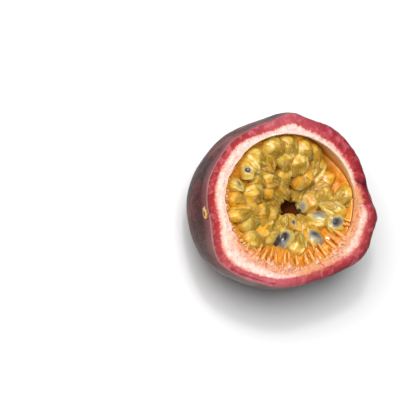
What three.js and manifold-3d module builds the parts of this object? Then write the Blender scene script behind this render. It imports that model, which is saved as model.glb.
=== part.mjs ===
// Half a passion fruit, lying with its cut face up. Millimetres, +Z up.
//
// The fruit was cut lengthwise, a little above its long axis, so the shell keeps more than half of its depth.
// The shell is a thick leathery rind round a cavity. The cavity's wall carries an orange bed, and the bed
// carries the juice sacs, one round each seed, which lean down towards an open hollow that lies off centre.
//
// Everything is worked out about the middle of the cut face: z is 0 at the cut and negative below it, and an
// angle runs anticlockwise from +X, seen from above. The last lines stand the fruit on z = 0.
import * as THREE from "three";
import { mergeVertices } from "three/addons/utils/BufferGeometryUtils.js";
import Module from "manifold-3d";

// The whole fruit that the half was cut from, and where the knife went.
const FRUIT = { length: 61.6, width: 56.0, depth: 58.4 };
const CUT_ABOVE_AXIS = 6.5;
const FLAT_SPOT_DEPTH = 0.45;

// The cavity inside the rind.
const CAVITY = { length: 48.4, width: 44.6, depth: 45.2 };
const WALL_GAP = 0.3; // clearance between the rind and what lies in it

// Where the rind's outline swells (+) or is pinched (-) at the cut: angle, rise in mm, and spread.
// Angles and spreads are in degrees.
const RIM_SWELLS = [
  { at: 13, rise: -1.4, spread: 13 },
  { at: 60, rise: 0.3, spread: 10 },
  { at: 90, rise: 1.4, spread: 6.5 },
  { at: 116, rise: -1.4, spread: 15 },
  { at: 152, rise: -0.6, spread: 9 },
  { at: 195, rise: -1.2, spread: 8 },
  { at: 220, rise: 3.4, spread: 12.6 },
  { at: 252, rise: 1.0, spread: 14.6 },
  { at: 288, rise: -0.6, spread: 11 },
  { at: 330, rise: 2.6, spread: 11.5 },
  { at: 352, rise: 1.9, spread: 5.5 },
];
const SWELLS_REACH = 18; // how far down the rind they fade out

// Broad shallow dents (-) and swells (+) of a leathery rind that has begun to dry.
const DENTS = [
  { at: 118, z: -12, rise: 0.3, width: 8 },
  { at: 197, z: -13, rise: 1.8, width: 11 },
  { at: 225, z: -25, rise: -0.6, width: 7 },
  { at: 262, z: -17, rise: -0.5, width: 7 },
  { at: 20, z: -17, rise: -0.9, width: 8 },
  { at: 75, z: -15, rise: -0.8, width: 7 },
  { at: 140, z: -22, rise: -0.6, width: 8 },
  { at: 318, z: -19, rise: -0.7, width: 8 },
];

// The dry scar of the flower at one end of the long axis.
const SCAR = { at: 189, z: -2.2, radius: 1.1, height: 0.5, pit: 0.4 };

// The cut through the rind, from its lining (0) to its skin (1): share of the wall, and height.
const CUT_FACE = [
  [0.0, -0.7],
  [0.06, -0.1],
  [0.3, 0.0],
  [0.7, 0.0],
  [0.88, -0.2],
  [1.0, -0.8],
];

// The bowl that the pulp leaves free: the foot of its hollow, and how high the pulp reaches on the wall.
const HOLLOW = { x: 6.6, y: -2.0, z: -15.5, steepness: 1.35 };
const PULP_REACH = -2.4;
const PULP_SINKS = [
  { at: 44, rise: -6.0, spread: 17 },
  { at: 112, rise: -1.8, spread: 14 },
];
const BED_BELOW = { sacs: 2.6, strands: 0.7 };

// The juice sacs: size ranges and spacing in plan. In degrees: how far they lift off the bowl's slope, sway
// from side to side and roll about their own length.
const SAC = {
  length: [8.4, 10.8],
  width: [5.0, 6.7],
  flatness: 0.82,
  spacing: 4.1,
  lift: [6, 26],
  sway: 50,
  roll: 120,
  sides: 8,
  rings: 5,
};
const SAC_FIELD = { rimMargin: 2.8, strandMargin: 8.6, innerShare: 0.26, tries: 4000 };

// The sacs that stand out from the rest: middle in plan, length, width, and lift in degrees.
const KEY_SACS = [
  { x: -14.2, y: 10.2, length: 8.6, width: 6.8, lift: 60 },
  { x: -7.5, y: 11.1, length: 9.5, width: 6.4, lift: 20 },
  { x: -18.3, y: 5.0, length: 6.8, width: 4.8, lift: 42 },
  { x: -18.6, y: -0.1, length: 7.8, width: 5.0, lift: 36 },
  { x: -11.6, y: 1.4, length: 10.4, width: 7.0, lift: 16 },
  { x: -4.4, y: 2.6, length: 9.0, width: 5.2, lift: 8 },
  { x: -13.2, y: -7.6, length: 9.6, width: 5.8, lift: 18 },
  { x: -7.0, y: -3.8, length: 9.0, width: 6.0, lift: 12 },
  { x: -4.4, y: -11.5, length: 9.6, width: 5.6, lift: 22 },
  { x: 0.9, y: -12.0, length: 8.6, width: 5.2, lift: 34 },
  { x: 5.0, y: -6.6, length: 7.2, width: 5.4, lift: 48 },
  { x: 12.2, y: -0.2, length: 9.5, width: 6.6, lift: 24 },
  { x: 14.2, y: -5.3, length: 8.6, width: 5.6, lift: 20 },
  { x: 18.9, y: -6.4, length: 7.6, width: 6.8, lift: 60 },
  { x: 11.9, y: -11.2, length: 8.8, width: 6.8, lift: 34 },
  { x: 21.0, y: 2.2, length: 9.8, width: 5.6, lift: 14 },
  { x: 11.3, y: 15.2, length: 10.4, width: 6.2, lift: 12 },
];

// The pale strands that tie the sacs to the wall, seen where the bed is bare.
const STRAND = { from: 224, to: 338, count: 15, length: [3.2, 5.4], radius: [0.55, 0.8], sides: 5 };

const RIND_STEPS = { around: 64, skin: 17, lining: 9 };
const BED_STEPS = { around: 32, wall: 6, bowl: 5 };
const SEED = 20417;

const wasm = await Module();
wasm.setup();

const { degToRad, radToDeg, lerp, smoothstep, clamp } = THREE.MathUtils;

// A repeatable draw: each call gives the next number from 0 to 1.
function draws(seed) {
  let state = seed;
  return () => (state = (state * 16807) % 2147483647) / 2147483647;
}

const between = ([low, high], share) => lerp(low, high, share);

// The shortest way round from one angle to another, in degrees.
const turn = (angle, at) => ((((angle - at + 180) % 360) + 360) % 360) - 180;

function onCircle(angle, radius, z) {
  return [radius * Math.cos(degToRad(angle)), radius * Math.sin(degToRad(angle)), z];
}

// The sum of the rises that a list of swells gives at an angle.
function bumps(list, angle) {
  const riseOf = ({ at, rise, spread }) => rise * Math.exp(-0.5 * (turn(angle, at) / spread) ** 2);
  return list.reduce((sum, swell) => sum + riseOf(swell), 0);
}

function ellipseRadius({ length, width }, angle) {
  const a = length / 2;
  const b = width / 2;
  return (a * b) / Math.hypot(b * Math.cos(degToRad(angle)), a * Math.sin(degToRad(angle)));
}

// How wide an ellipsoid is at height z, as a share of its waist, which lies CUT_ABOVE_AXIS under the cut.
function waistShare(depth, z) {
  return Math.sqrt(Math.max(0, 1 - ((z + CUT_ABOVE_AXIS) / (depth / 2)) ** 2));
}

function dentsAt(angle, z, radius) {
  return DENTS.reduce((sum, dent) => {
    const across = degToRad(turn(angle, dent.at)) * radius;
    return sum + dent.rise * Math.exp(-(across ** 2 + (z - dent.z) ** 2) / dent.width ** 2);
  }, 0);
}

// The rind's outer radius at an angle and a height.
function skinRadius(angle, z) {
  const round = waistShare(FRUIT.depth, z) * ellipseRadius(FRUIT, angle);
  const swell = bumps(RIM_SWELLS, angle) * Math.exp(-((z / SWELLS_REACH) ** 2));
  return round + (swell + dentsAt(angle, z, round)) * waistShare(FRUIT.depth, z);
}

// The cavity's radius at an angle and a height.
function liningRadius(angle, z) {
  return waistShare(CAVITY.depth, z) * ellipseRadius(CAVITY, angle);
}

// A point of the cavity's wall, moved in from it by a clearance.
function insideLining(angle, z, clearance) {
  const share = 1 - clearance / (CAVITY.depth / 2);
  return onCircle(angle, liningRadius(angle, z) * share, (z + CUT_ABOVE_AXIS) * share - CUT_ABOVE_AXIS);
}

const bottomOf = (depth) => -(depth / 2 + CUT_ABOVE_AXIS);
const FLOOR = bottomOf(FRUIT.depth) + FLAT_SPOT_DEPTH;

// Heights from one level to another, evenly spaced round the ellipsoid's section.
function heights(depth, top, bottom, steps) {
  const latitude = (z) => Math.asin(clamp((z + CUT_ABOVE_AXIS) / (depth / 2), -1, 1));
  const levels = [];
  for (let i = 0; i <= steps; i++) {
    const here = lerp(latitude(top), latitude(bottom), i / steps);
    levels.push((depth / 2) * Math.sin(here) - CUT_ABOVE_AXIS);
  }
  return levels;
}

const LINING_FLOOR = bottomOf(CAVITY.depth);
const liningHeights = heights(CAVITY.depth, CUT_FACE[0][1], LINING_FLOOR, RIND_STEPS.lining).slice(0, -1);

// A lathe whose rings are then shaped: rings[i](angle) gives ring i's [x, y, z]. It runs from axis to axis.
function shapedLathe(rings, around) {
  const profile = rings.map((_, i) => new THREE.Vector2(i === 0 || i === rings.length - 1 ? 0 : 1, i));
  const geometry = new THREE.LatheGeometry(profile, around);
  const position = geometry.getAttribute("position");
  for (let i = 0; i < position.count; i++) {
    const angle = ((Math.floor(i / rings.length) % around) * 360) / around;
    position.setXYZ(i, ...rings[i % rings.length](angle));
  }
  return geometry;
}

// A closed three.js geometry as a solid for joining and cutting.
function toSolid(geometry) {
  const bare = new THREE.BufferGeometry();
  bare.setAttribute("position", geometry.getAttribute("position"));
  bare.setIndex(geometry.index);
  const merged = mergeVertices(bare, 1e-4);
  const corners = merged.index.array;
  const kept = [];
  for (let i = 0; i < corners.length; i += 3) {
    const [a, b, c] = corners.slice(i, i + 3);
    if (a !== b && b !== c && c !== a) kept.push(a, b, c);
  }
  const mesh = new wasm.Mesh({
    numProp: 3,
    vertProperties: new Float32Array(merged.getAttribute("position").array),
    triVerts: new Uint32Array(kept),
  });
  const solid = new wasm.Manifold(mesh);
  if (solid.volume() > 0) return solid;
  for (let i = 0; i < kept.length; i += 3) [kept[i], kept[i + 1]] = [kept[i + 1], kept[i]];
  mesh.triVerts = new Uint32Array(kept);
  return new wasm.Manifold(mesh);
}

// The largest body of a solid, as a named mesh. Loose scraps are dropped.
function toMesh(name, solid, material) {
  const body = solid.decompose().sort((a, b) => b.volume() - a.volume())[0];
  const { vertProperties, triVerts } = body.getMesh();
  const geometry = new THREE.BufferGeometry();
  geometry.setAttribute("position", new THREE.BufferAttribute(new Float32Array(vertProperties), 3));
  geometry.setIndex(new THREE.BufferAttribute(new Uint32Array(triVerts), 1));
  geometry.computeVertexNormals();
  const mesh = new THREE.Mesh(geometry, material);
  mesh.name = name;
  return mesh;
}

// ---- the rind ----

function rindSolid() {
  const rings = [(angle) => onCircle(angle, 0, FLOOR)];
  const skin = heights(FRUIT.depth, CUT_FACE.at(-1)[1], FLOOR, RIND_STEPS.skin).reverse();
  for (const z of skin) rings.push((angle) => onCircle(angle, skinRadius(angle, z), z));
  for (const [share, z] of CUT_FACE.slice(1, -1).reverse())
    rings.push((angle) => onCircle(angle, lerp(liningRadius(angle, z), skinRadius(angle, z), share), z));
  for (const z of liningHeights) rings.push((angle) => onCircle(angle, liningRadius(angle, z), z));
  rings.push((angle) => onCircle(angle, 0, LINING_FLOOR));
  return toSolid(shapedLathe(rings, RIND_STEPS.around));
}

// A low button with a pit in its middle, sunk a little into the skin and facing out.
function scarSolid() {
  const { at, z, radius, height, pit } = SCAR;
  const profile = [
    [0, -height],
    [radius * 1.35, -height],
    [radius * 1.3, height * 0.2],
    [radius * 0.8, height],
    [radius * 0.4, height],
    [0, height - pit],
  ].map(([across, up]) => new THREE.Vector2(across, up));
  const button = new THREE.LatheGeometry(profile, 10);
  button.rotateZ(-Math.PI / 2);
  button.rotateZ(degToRad(at));
  button.translate(...onCircle(at, skinRadius(at, z), z));
  return toSolid(button);
}

// ---- the pulp ----

// How high the pulp's bowl reaches on the wall.
const reachAt = (angle) => PULP_REACH + bumps(PULP_SINKS, angle);

// A point of the pulp's bowl: share is 0 at the foot of the hollow and 1 at the wall.
function bowlPoint(share, angle) {
  const reach = reachAt(angle);
  const z = HOLLOW.z + (reach - HOLLOW.z) * (1 - (1 - share) ** HOLLOW.steepness);
  const [x, y] = onCircle(angle, share * (liningRadius(angle, reach) - WALL_GAP), z);
  const drift = 1 - share ** 2;
  return new THREE.Vector3(x + HOLLOW.x * drift, y + HOLLOW.y * drift, z);
}

// The share and angle at which the bowl passes over a point of the plan.
function bowlPlace(x, y) {
  let share = 0.5;
  let angle = 0;
  for (let i = 0; i < 12; i++) {
    const drift = 1 - share ** 2;
    const dx = x - HOLLOW.x * drift;
    const dy = y - HOLLOW.y * drift;
    angle = radToDeg(Math.atan2(dy, dx));
    share = Math.min(1, Math.hypot(dx, dy) / (liningRadius(angle, reachAt(angle)) - WALL_GAP));
  }
  return { share, angle };
}

// 1 where the strands show, fading to 0 beside them.
function strandsAt(angle) {
  const half = (STRAND.to - STRAND.from) / 2;
  return smoothstep(half - Math.abs(turn(angle, STRAND.from + half)), -8, 10);
}

// The bed that lines the cavity under the sacs.
function bedSolid() {
  const rings = [() => insideLining(0, LINING_FLOOR, 2 * WALL_GAP)];
  for (let i = BED_STEPS.wall - 1; i >= 0; i--) {
    rings.push((angle) => {
      const z = heights(CAVITY.depth, reachAt(angle) - 0.4, LINING_FLOOR, BED_STEPS.wall)[i];
      return insideLining(angle, z, 2 * WALL_GAP);
    });
  }
  for (let i = BED_STEPS.bowl; i > 0; i--) {
    rings.push((angle) => {
      const share = i / BED_STEPS.bowl;
      const point = bowlPoint(share * 0.98, angle);
      const below = lerp(BED_BELOW.sacs, BED_BELOW.strands, strandsAt(angle) * smoothstep(share, 0.3, 0.7));
      return [point.x, point.y, point.z - below * smoothstep(1 - share, 0, 0.2)];
    });
  }
  rings.push(() => [HOLLOW.x, HOLLOW.y, HOLLOW.z - BED_BELOW.sacs]);
  return toSolid(shapedLathe(rings, BED_STEPS.around));
}

// A ball drawn out along +Z into a juice sac: full near its root at z = 0, pleated and narrow at its tip.
function sacGeometry({ length, width, pleats, bend }) {
  const ball = new THREE.SphereGeometry(1, SAC.sides, SAC.rings).rotateX(Math.PI / 2);
  const position = ball.getAttribute("position");
  for (let i = 0; i < position.count; i++) {
    const around = Math.atan2(position.getY(i), position.getX(i));
    const along = clamp((position.getZ(i) + 1) / 2, 0, 1);
    const onAxis = along < 1e-6 || along > 1 - 1e-6;
    const full = onAxis ? 0 : Math.sin(Math.PI * along ** 0.78) ** 0.62;
    const pleat = 1 + 0.14 * Math.cos(pleats * around) * smoothstep(along, 0.4, 0.9);
    const radius = (width / 2) * full * pleat;
    const droop = bend * length * along ** 2;
    const rise = radius * SAC.flatness * Math.sin(around) - droop;
    position.setXYZ(i, radius * Math.cos(around), rise, along * length);
  }
  return ball;
}

// Where each sac goes and its size: the key sacs first, then as many more as there is room for.
function sacPlan(next) {
  const half = CAVITY.length / 2;
  const sacs = KEY_SACS.map((sac) => ({ ...sac, sway: SAC.sway * (next() - 0.5) }));
  for (let i = 0; i < SAC_FIELD.tries; i++) {
    const x = lerp(-half, half, next());
    const y = lerp(-half, half, next());
    const { share, angle } = bowlPlace(x, y);
    const margin = lerp(SAC_FIELD.rimMargin, SAC_FIELD.strandMargin, strandsAt(angle));
    if (share < SAC_FIELD.innerShare || (1 - share) * liningRadius(angle, 0) < margin) continue;
    if (sacs.some((other) => (other.x - x) ** 2 + (other.y - y) ** 2 < SAC.spacing ** 2)) continue;
    const length = between(SAC.length, next());
    const width = between(SAC.width, next());
    const lift = between(SAC.lift, next());
    sacs.push({ x, y, length, width, lift, sway: SAC.sway * (next() - 0.5) });
  }
  return sacs;
}

// One sac: it follows the bowl's slope down to the hollow and lifts off it a little.
function sacSolid({ x, y, length, width, lift, sway }, next) {
  const { share, angle } = bowlPlace(x, y);
  const middle = bowlPoint(share, angle);
  const slope = bowlPoint(Math.max(0, share - 0.15), angle).sub(middle).normalize();
  const side = new THREE.Vector3().crossVectors(slope, new THREE.Vector3(0, 0, 1)).normalize();
  const along = slope.applyAxisAngle(side, degToRad(lift));
  along.applyAxisAngle(new THREE.Vector3(0, 0, 1), degToRad(sway));
  const up = new THREE.Vector3().crossVectors(side, along).normalize();
  const across = new THREE.Vector3().crossVectors(up, along).normalize();
  const axes = new THREE.Matrix4().makeBasis(across, new THREE.Vector3().crossVectors(along, across), along);
  const geometry = sacGeometry({ length, width, pleats: 3 + Math.floor(3 * next()), bend: 0.06 });
  geometry.rotateZ(degToRad(SAC.roll * (next() - 0.5)));
  geometry.applyMatrix4(axes);
  const root = middle.addScaledVector(along, -0.5 * length).addScaledVector(up, -0.1 * width);
  geometry.translate(root.x, root.y, root.z);
  return toSolid(geometry);
}

// A strand that stands out of the wall near the cut, tapering towards the middle.
function strandSolid(index, next) {
  const angle = lerp(STRAND.from, STRAND.to, (index + 0.7 * next()) / STRAND.count);
  const length = between(STRAND.length, next());
  const radius = between(STRAND.radius, next());
  const z = -1.2 - 1.6 * next();
  const strand = new THREE.CylinderGeometry(radius * 0.45, radius, length + 1.5, STRAND.sides, 1);
  strand.rotateZ(Math.PI / 2);
  strand.rotateY(degToRad(12 + 16 * next()));
  strand.rotateZ(degToRad(angle));
  strand.translate(...onCircle(angle, liningRadius(angle, z) - length / 2 - 0.2, z - 0.6));
  return toSolid(strand);
}

// The room inside the rind that the pulp may fill, up to a little above the cut.
function roomSolid() {
  const top = 1.6;
  const rings = [() => insideLining(0, LINING_FLOOR, WALL_GAP)];
  for (const z of liningHeights.toReversed()) rings.push((angle) => insideLining(angle, z, WALL_GAP));
  rings.push((angle) => onCircle(angle, liningRadius(angle, 0) - 2 * WALL_GAP, top));
  rings.push((angle) => onCircle(angle, 0, top));
  return toSolid(shapedLathe(rings, RIND_STEPS.around));
}

function pulpSolid() {
  const next = draws(SEED);
  const sacs = sacPlan(next).map((sac) => sacSolid(sac, next));
  const strands = Array.from({ length: STRAND.count }, (_, i) => strandSolid(i, next));
  return wasm.Manifold.union([bedSolid(), ...sacs, ...strands]).intersect(roomSolid());
}

// ---- the part ----

const rindFinish = new THREE.MeshStandardMaterial({ color: 0x6d3f48, roughness: 0.45, metalness: 0 });
const pulpFinish = new THREE.MeshStandardMaterial({ color: 0xd8a13a, roughness: 0.25, metalness: 0 });

const fruit = new THREE.Group();
fruit.add(toMesh("shell", rindSolid().add(scarSolid()), rindFinish));
fruit.add(toMesh("pulp", pulpSolid(), pulpFinish));

// The origin is under the middle of the fruit's box, on the surface that it lies on.
const box = new THREE.Box3().setFromObject(fruit);
fruit.position.set(-(box.min.x + box.max.x) / 2, -(box.min.y + box.max.y) / 2, -box.min.z);

export default fruit;
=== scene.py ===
"""Half a passion fruit, lying with its cut face up.

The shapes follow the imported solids: the same outline, bowl and juice sacs, worked out in millimetres
about the middle of the cut face (z is 0 at the cut, angles run anticlockwise from +X) and placed in the
frame at the end.
"""
import math

import bmesh
import bpy
import numpy as np
from mathutils import Matrix, Quaternion, Vector, kdtree, noise


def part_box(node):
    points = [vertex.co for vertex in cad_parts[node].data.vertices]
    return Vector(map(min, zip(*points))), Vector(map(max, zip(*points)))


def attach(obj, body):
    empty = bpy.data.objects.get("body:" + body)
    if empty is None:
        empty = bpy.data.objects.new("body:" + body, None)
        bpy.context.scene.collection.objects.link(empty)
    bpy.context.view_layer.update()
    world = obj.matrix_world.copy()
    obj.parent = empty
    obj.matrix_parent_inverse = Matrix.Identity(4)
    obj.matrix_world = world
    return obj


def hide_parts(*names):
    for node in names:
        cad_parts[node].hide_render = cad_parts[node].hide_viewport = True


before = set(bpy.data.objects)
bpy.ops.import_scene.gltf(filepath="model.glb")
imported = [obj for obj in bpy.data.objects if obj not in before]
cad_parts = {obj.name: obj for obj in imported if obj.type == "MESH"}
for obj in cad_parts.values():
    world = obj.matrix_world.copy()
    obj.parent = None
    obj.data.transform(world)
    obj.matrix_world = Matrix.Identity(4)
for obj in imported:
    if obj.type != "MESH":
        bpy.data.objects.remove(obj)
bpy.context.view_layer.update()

# ---- driving sizes, in mm and degrees ----

FRUIT = {"length": 61.6, "width": 56.0, "depth": 58.4}
CUT_ABOVE_AXIS = 6.5
FLAT_SPOT_DEPTH = 0.45
CAVITY = {"length": 48.4, "width": 44.6, "depth": 45.2}
WALL_GAP = 0.3

# Swells of the rim: angle, rise, spread.
RIM_SWELLS = [
    (13, -1.4, 13),
    (60, 0.3, 10),
    (90, 1.4, 6.5),
    (116, -1.4, 15),
    (152, -0.6, 9),
    (195, -1.2, 8),
    (220, 3.4, 12.6),
    (252, 1.0, 14.6),
    (288, -0.6, 11),
    (330, 2.6, 11.5),
    (352, 1.9, 5.5),
]
SWELLS_REACH = 18
# Dents of the rind: angle, height, rise, width.
DENTS = [
    (118, -12, 0.3, 8),
    (197, -13, 1.8, 11),
    (225, -25, -0.6, 7),
    (262, -17, -0.5, 7),
    (20, -17, -0.9, 8),
    (75, -15, -0.8, 7),
    (140, -22, -0.6, 8),
    (318, -19, -0.7, 8),
]
SCAR = {"at": 189, "z": -2.2, "radius": 1.1, "height": 0.5, "pit": 0.4}
# The cut face's rise over the way from the lining to the skin.
CUT_FACE = [(0.0, -0.7), (0.06, -0.1), (0.3, 0.0), (0.7, 0.0), (0.88, -0.2), (1.0, -0.8)]
LIP_LEVEL, EDGE_LEVEL = CUT_FACE[0][1], CUT_FACE[-1][1]

HOLLOW = {"x": 6.6, "y": -2.0, "z": -15.5, "steepness": 1.35}
PULP_REACH = -2.4
PULP_SINKS = [(44, -6.0, 17), (112, -1.8, 14)]
BED_BELOW = {"sacs": 1.8, "strands": 0.7}

SAC = {"length": (8.4, 10.8), "width": (5.0, 6.7), "lift": (6, 26), "flatness": 0.82, "spacing": 4.1}
SAC_SWAY = 50
SAC_ROLL = 120
FIELD = {"rim": 2.8, "strands": 8.6, "inner_share": 0.26, "tries": 4000}
# The sacs that stand out: x, y, length, width, lift, and how far the seed shows (0 deep inside, 1 at the
# surface).
KEY_SACS = [
    (-14.2, 10.2, 8.6, 6.8, 60, 0.97),
    (-7.5, 11.1, 9.5, 6.4, 20, 0.0),
    (-18.3, 5.0, 6.8, 4.8, 42, 0.85),
    (-18.6, -0.1, 7.8, 5.0, 36, 0.0),
    (-11.6, 1.4, 10.4, 7.0, 16, 0.2),
    (-4.4, 2.6, 9.0, 5.2, 8, 0.0),
    (-13.2, -7.6, 9.6, 5.8, 18, 0.2),
    (-7.0, -3.8, 9.0, 6.0, 12, 0.0),
    (-4.4, -11.5, 9.6, 5.6, 22, 1.06),
    (0.9, -12.0, 8.6, 5.2, 34, 0.93),
    (5.0, -6.6, 7.2, 5.4, 48, 0.95),
    (12.2, -0.2, 9.5, 6.6, 24, 0.7),
    (14.2, -5.3, 8.6, 5.6, 20, 0.83),
    (18.9, -6.4, 7.6, 6.8, 60, 0.87),
    (11.9, -11.2, 8.8, 6.8, 34, 0.85),
    (21.0, 2.2, 9.8, 5.6, 14, 0.1),
    (11.3, 15.2, 10.4, 6.2, 12, 0.0),
]
# Where the seeds that show lie: the sac's number, share along it, share across it, turn in degrees and size.
SEED_LIES = {
    0: (0.56, -0.06, 0, 0.5),
    2: (0.5, 0.0, 0, 0.5),
    8: (0.62, -0.2, 70, 0.9),
    9: (0.44, 0.05, 10, 1.0),
    10: (0.5, -0.15, 0, 0.45),
    11: (0.58, -0.1, 10, 1.0),
    12: (0.42, -0.1, -10, 1.0),
    13: (0.5, 0.0, 0, 1.05),
    14: (0.46, 0.1, 10, 1.0),
    32: (0.22, 0.0, 0, 0.5),
}
SEED_HALF = (1.65, 1.15, 2.5)
# Sacs riper or paler than the rest: number and tone.
RIPE = {3: 1.5, 11: 0.9, 14: 0.85, 31: 1.0, 26: 0.2, 6: 0.1, 15: 0.2}
# Sacs drawn back from the hollow: number and how far, in mm.
SET_BACK = {36: 1.6, 28: 1.1, 7: 0.5}
STRAND = {"from": 224, "to": 338, "count": 15, "length": (3.2, 5.4), "radius": (0.55, 0.8)}
SEED = 20417


def draws(seed):
    """A repeatable draw: each call gives the next number from 0 to 1."""
    state = seed

    def draw():
        nonlocal state
        state = (state * 16807) % 2147483647
        return state / 2147483647

    return draw


def lerp(a, b, share):
    """What lies a share of the way from a to b."""
    return a + (b - a) * share


def smooth(value, low, high):
    """0 up to low and 1 from high on, with a soft step between them."""
    share = np.clip((value - low) / (high - low), 0, 1)
    return share * share * (3 - 2 * share)


def turn(angle, at):
    """How far an angle is past another, from -180 to 180."""
    return (angle - at + 180) % 360 - 180


def bumps(swells, angle):
    """The rises of some swells at an angle, added up."""
    return sum(rise * np.exp(-0.5 * (turn(angle, at) / spread) ** 2) for at, rise, spread in swells)


def ellipse_radius(body, angle):
    """How far a body's plan reaches from the axis at its widest."""
    a, b = body["length"] / 2, body["width"] / 2
    return a * b / np.hypot(b * np.cos(np.radians(angle)), a * np.sin(np.radians(angle)))


def waist_share(depth, z):
    """How wide a body of that depth is at z, as a share of its widest."""
    return np.sqrt(np.maximum(0, 1 - ((z + CUT_ABOVE_AXIS) / (depth / 2)) ** 2))


def skin_radius(angle, z):
    """How far the skin is from the axis, with its swells and dents."""
    share = waist_share(FRUIT["depth"], z)
    round_ = share * ellipse_radius(FRUIT, angle)
    rise = bumps(RIM_SWELLS, angle) * np.exp(-((z / SWELLS_REACH) ** 2))
    for at, level, height, width in DENTS:
        across = np.radians(turn(angle, at)) * round_
        rise = rise + height * np.exp(-(across**2 + (z - level) ** 2) / width**2)
    return round_ + rise * share


def lining_radius(angle, z):
    """How far the cavity's lining is from the axis."""
    return waist_share(CAVITY["depth"], z) * ellipse_radius(CAVITY, angle)


def bottom_of(depth):
    """The foot of a body of that depth."""
    return -(depth / 2 + CUT_ABOVE_AXIS)


FLOOR = bottom_of(FRUIT["depth"]) + FLAT_SPOT_DEPTH
LINING_FLOOR = bottom_of(CAVITY["depth"])


def on_circle(angle, radius, z):
    """Points at an angle and a distance round the axis."""
    angle = np.radians(angle)
    return np.stack(np.broadcast_arrays(radius * np.cos(angle), radius * np.sin(angle), z), -1)


def inside_lining(angle, z, clearance):
    """Points of the lining drawn in by a clearance."""
    share = 1 - clearance / (CAVITY["depth"] / 2)
    return on_circle(angle, lining_radius(angle, z) * share, (z + CUT_ABOVE_AXIS) * share - CUT_ABOVE_AXIS)


def heights(depth, top, bottom, steps):
    """Levels from top to bottom, evenly spaced along a body's side."""
    def latitude(z):
        return np.arcsin(np.clip((z + CUT_ABOVE_AXIS) / (depth / 2), -1, 1))

    shares = np.linspace(0, 1, steps + 1)
    return depth / 2 * np.sin(lerp(latitude(top), latitude(bottom), shares)) - CUT_ABOVE_AXIS


def reach_at(angle):
    """How high the pulp comes at the wall."""
    return PULP_REACH + bumps(PULP_SINKS, angle)


def bowl_point(share, angle):
    """A point of the pulp's bowl: share is 0 at the foot of the hollow and 1 at the wall."""
    reach = reach_at(angle)
    z = HOLLOW["z"] + (reach - HOLLOW["z"]) * (1 - np.maximum(0, 1 - share) ** HOLLOW["steepness"])
    point = on_circle(angle, share * (lining_radius(angle, reach) - WALL_GAP), z)
    drift = 1 - share**2
    return point + np.stack(np.broadcast_arrays(HOLLOW["x"] * drift, HOLLOW["y"] * drift, 0 * z), -1)


def bowl_place(x, y):
    """The share and angle at which the bowl passes over a point of the plan."""
    share, angle = 0.5, 0.0
    for _ in range(12):
        drift = 1 - share**2
        dx, dy = x - HOLLOW["x"] * drift, y - HOLLOW["y"] * drift
        angle = np.degrees(np.arctan2(dy, dx))
        share = np.minimum(1, np.hypot(dx, dy) / (lining_radius(angle, reach_at(angle)) - WALL_GAP))
    return share, angle


def strands_at(angle):
    """1 over the strands and 0 away from them."""
    half = (STRAND["to"] - STRAND["from"]) / 2
    return smooth(half - np.abs(turn(angle, STRAND["from"] + half)), -8, 10)


# ---- meshes ----


def fine_noise(points, size, seed):
    """Smooth noise from -1 to 1 at each point, with bumps of about that size in mm."""
    offset = Vector((seed * 17.3, seed * 5.1, seed * 9.7))
    return np.array([noise.noise(Vector(p) / size + offset) for p in points])


def lathe(ring_count, around):
    """A profile spun round Z. Returns the mesh, and each vertex's ring and angle."""
    bm = bmesh.new()
    last = ring_count - 1
    chain = [bm.verts.new((0 if i in (0, last) else 1, 0, i)) for i in range(ring_count)]
    edges = [bm.edges.new(pair) for pair in zip(chain, chain[1:])]
    bmesh.ops.spin(
        bm,
        geom=chain + edges,
        cent=(0, 0, 0),
        axis=(0, 0, 1),
        dvec=(0, 0, 0),
        angle=math.tau,
        steps=around,
        use_merge=True,
    )
    bmesh.ops.remove_doubles(bm, verts=bm.verts, dist=1e-4)
    bmesh.ops.recalc_face_normals(bm, faces=bm.faces)
    bm.verts.index_update()
    ring = np.array([round(v.co.z) for v in bm.verts])
    angle = np.array([math.degrees(math.atan2(v.co.y, v.co.x)) % 360 for v in bm.verts])
    return bm, ring, angle


def move(verts, points):
    """Puts each vertex at its own point."""
    for vert, point in zip(verts, points):
        vert.co = point


def roughness(points, relief, seed):
    """Noise of several sizes together. relief is each one's size and height."""
    return sum(height * fine_noise(points, size, seed + i) for i, (size, height) in enumerate(relief))


def find_place():
    """Where the middle of the cut face goes in the frame, in mm: the outline fills the shell's box."""
    low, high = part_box("shell")
    angles = np.arange(0, 360, 0.5)[:, None]
    levels = np.linspace(-14, EDGE_LEVEL, 60)[None, :]
    outline = on_circle(angles, skin_radius(angles, levels), levels).reshape(-1, 3)
    middle = (outline.max(0) + outline.min(0)) / 2
    place = Vector((low[i] + high[i]) * 500 for i in range(3))
    place.x -= middle[0]
    place.y -= middle[1]
    place.z = -FLOOR
    return place


PLACE = find_place()


def finish_piece(name, bm, finishes, values=None):
    """The finished mesh as an object in the frame. values are named numbers at each vertex."""
    mesh = bpy.data.meshes.new(name)
    bmesh.ops.translate(bm, verts=bm.verts, vec=PLACE)
    bmesh.ops.scale(bm, verts=bm.verts, vec=(0.001, 0.001, 0.001))
    bmesh.ops.recalc_face_normals(bm, faces=bm.faces)
    for face in bm.faces:
        face.smooth = True
    bm.to_mesh(mesh)
    bm.free()
    for finish in finishes:
        mesh.materials.append(finish)
    for key, numbers in (values or {}).items():
        numbers = np.asarray(numbers, dtype=np.float32)
        if numbers.ndim == 2:
            mesh.attributes.new(key, "FLOAT_VECTOR", "POINT").data.foreach_set("vector", numbers.ravel())
        else:
            mesh.attributes.new(key, "FLOAT", "POINT").data.foreach_set("value", numbers)
    piece = bpy.data.objects.new(name, mesh)
    bpy.context.scene.collection.objects.link(piece)
    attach(piece, "root")
    return piece


# ---- finishes ----


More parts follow.
